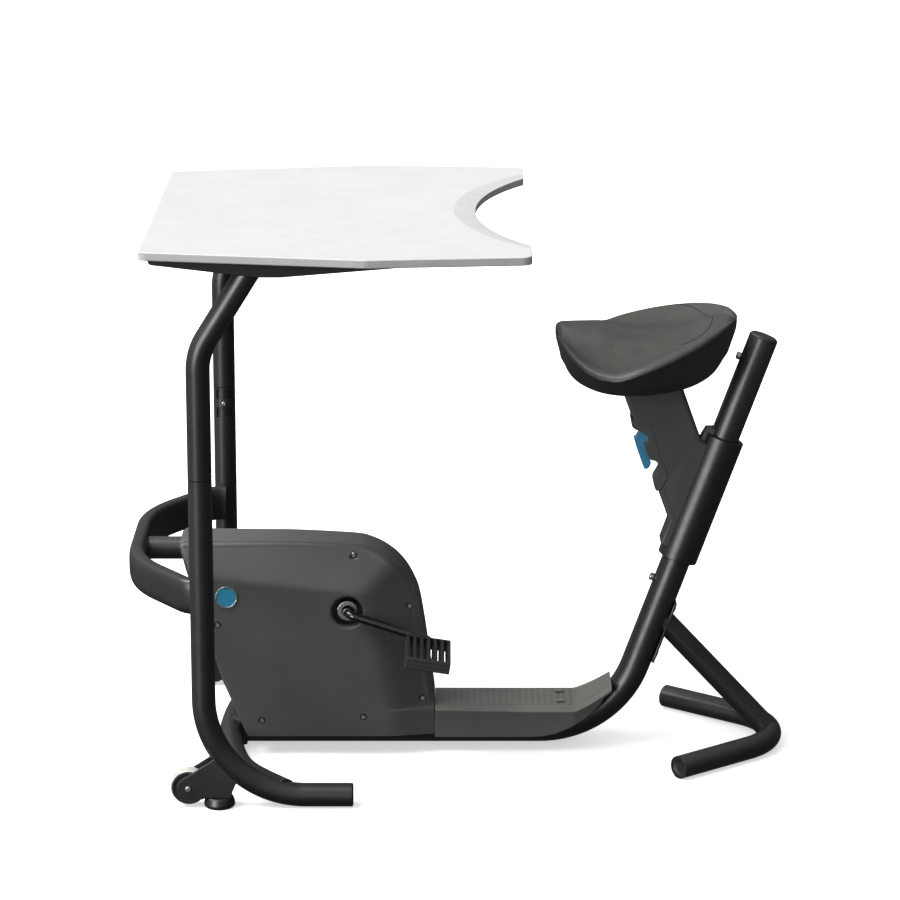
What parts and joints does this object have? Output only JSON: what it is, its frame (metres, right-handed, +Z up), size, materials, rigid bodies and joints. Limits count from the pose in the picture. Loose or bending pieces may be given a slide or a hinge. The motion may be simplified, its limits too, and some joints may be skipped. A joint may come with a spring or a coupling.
{
  "type": "desk exercise bike",
  "caption": "Pedal exercise bike with a height-adjustable desktop on two uprights, an enclosed flywheel drive, and a padded saddle that slides on a leaning mast.",
  "frame": {"origin": "on the floor, midway along the object's length and width", "axes": "+X towards the saddle end, +Y towards the rider's right, +Z up"},
  "size_m": [1.4535, 1.108, 1.221],
  "materials": {
    "satin_black_paint": "satin powder coat",
    "charcoal_plastic": "fine grained moulded plastic",
    "grey_plastic": "fine grained moulded plastic",
    "black_plastic": "moulded plastic",
    "white_laminate": "satin white laminate on board",
    "black_leatherette": "grained leatherette over foam",
    "blue_plastic": "smooth moulded plastic",
    "blue_enamel": "glossy enamel disc",
    "bright_steel": "zinc plated, brushed",
    "cast_iron": "machined, oiled",
    "rubber": "matt"
  },
  "bodies": {
    "frame": {"main_beam": "satin_black_paint", "mast_cap": "black_plastic", "upper_stop_bolt": "bright_steel", "lower_stop_bolt": "bright_steel", "front_cross_tube": "satin_black_paint", "front_loop": "satin_black_paint", "head_post": "satin_black_paint", "rear_strut": "satin_black_paint", "rear_base_tube": "satin_black_paint", "strut_bolt_lower": "bright_steel", "strut_bolt_upper": "bright_steel", "badge": "blue_enamel", "step_cover": "grey_plastic", "crank_bearing_shell": "satin_black_paint", "flywheel_fork": "satin_black_paint", "drive_belt": "rubber", "magnet_brake": "cast_iron", "front_leg_left": "satin_black_paint", "front_leg_right": "satin_black_paint", "leg_cap_left": "black_plastic", "leg_cap_right": "black_plastic", "height_lock_bolt_left": "bright_steel", "height_lock_bolt_right": "bright_steel", "wheel_bracket_left": "satin_black_paint", "wheel_bracket_right": "satin_black_paint", "wheel_axle_left": "bright_steel", "wheel_axle_right": "bright_steel", "rear_cap_left": "black_plastic", "rear_cap_right": "black_plastic", "housing_left": "charcoal_plastic", "housing_right": "charcoal_plastic", "bearing_cup_left": "bright_steel", "bearing_cup_right": "bright_steel"},
    "desk_lift": {"desktop": "white_laminate", "desk_crossbar": "satin_black_paint", "upper_upright_left": "satin_black_paint", "upper_upright_right": "satin_black_paint", "desk_bracket_left": "satin_black_paint", "desk_bracket_right": "satin_black_paint"},
    "flywheel": {"flywheel": "cast_iron", "flywheel_shaft": "bright_steel"},
    "crank": {"crank": "satin_black_paint", "drive_pulley": "black_plastic", "pedal_spindle_left": "bright_steel", "pedal_spindle_right": "bright_steel"},
    "pedal_left": {"pedal_left": "black_plastic"},
    "pedal_right": {"pedal_right": "black_plastic"},
    "seat_carriage": {"seat_sleeve": "satin_black_paint", "sleeve_liner": "black_plastic", "seat_post": "charcoal_plastic", "grip_trim": "grey_plastic", "lever_pin": "bright_steel", "saddle_pan": "black_plastic", "saddle_cushion": "black_leatherette"},
    "release_lever": {"release_lever": "blue_plastic"},
    "clamp_shoe": {"clamp_shoe": "black_plastic"},
    "wheel_left": {"wheel_left": "rubber"},
    "wheel_right": {"wheel_right": "rubber"},
    "level_foot_left": {"level_foot_left": "rubber"},
    "level_foot_right": {"level_foot_right": "rubber"}
  },
  "joints": [
    {"name": "desk_height", "type": "slide", "parent": "frame", "child": "desk_lift", "axis": [0, 0, 1], "range_m": [0, 0.1]},
    {"name": "flywheel_spin", "type": "hinge", "parent": "frame", "child": "flywheel", "pos_m": [-0.415, 0, 0.235], "axis": [0, 1, 0], "continuous": true},
    {"name": "crank_spin", "type": "hinge", "parent": "frame", "child": "crank", "pos_m": [-0.243, 0, 0.333], "axis": [0, 1, 0], "continuous": true},
    {"name": "pedal_spin_left", "type": "hinge", "parent": "crank", "child": "pedal_left", "pos_m": [-0.06447, -0.16, 0.2845], "axis": [0, 1, 0], "continuous": true},
    {"name": "pedal_spin_right", "type": "hinge", "parent": "crank", "child": "pedal_right", "pos_m": [-0.42153, 0.16, 0.3815], "axis": [0, 1, 0], "continuous": true},
    {"name": "seat_slide", "type": "slide", "parent": "frame", "child": "seat_carriage", "axis": [0.341, 0, 0.94], "range_m": [-0.03, 0.15]},
    {"name": "lever_squeeze", "type": "hinge", "parent": "seat_carriage", "child": "release_lever", "pos_m": [0.4255, 0, 0.7118], "axis": [0, -1, 0], "range_deg": [0, 8], "stiffness_Nm_per_rad": 0.8, "springref_deg": -5.73},
    {"name": "shoe_release", "type": "slide", "parent": "seat_carriage", "child": "clamp_shoe", "axis": [-0.94, 0, 0.341], "range_m": [0, 0.004]},
    {"name": "wheel_roll_left", "type": "hinge", "parent": "frame", "child": "wheel_left", "pos_m": [-0.5757, -0.414, 0.045], "axis": [0, 1, 0], "continuous": true},
    {"name": "wheel_roll_right", "type": "hinge", "parent": "frame", "child": "wheel_right", "pos_m": [-0.5757, 0.414, 0.045], "axis": [0, 1, 0], "continuous": true},
    {"name": "foot_screw_left", "type": "slide", "parent": "frame", "child": "level_foot_left", "axis": [0, 0, -1], "range_m": [0, 0.01]},
    {"name": "foot_screw_right", "type": "slide", "parent": "frame", "child": "level_foot_right", "axis": [0, 0, -1], "range_m": [0, 0.01]}
  ],
  "couplings": [
    {"joint": "crank_spin", "follows": "flywheel_spin", "ratio": 0.22857},
    {"joint": "shoe_release", "follows": "lever_squeeze", "m_per_rad": 0.0286}
  ]
}
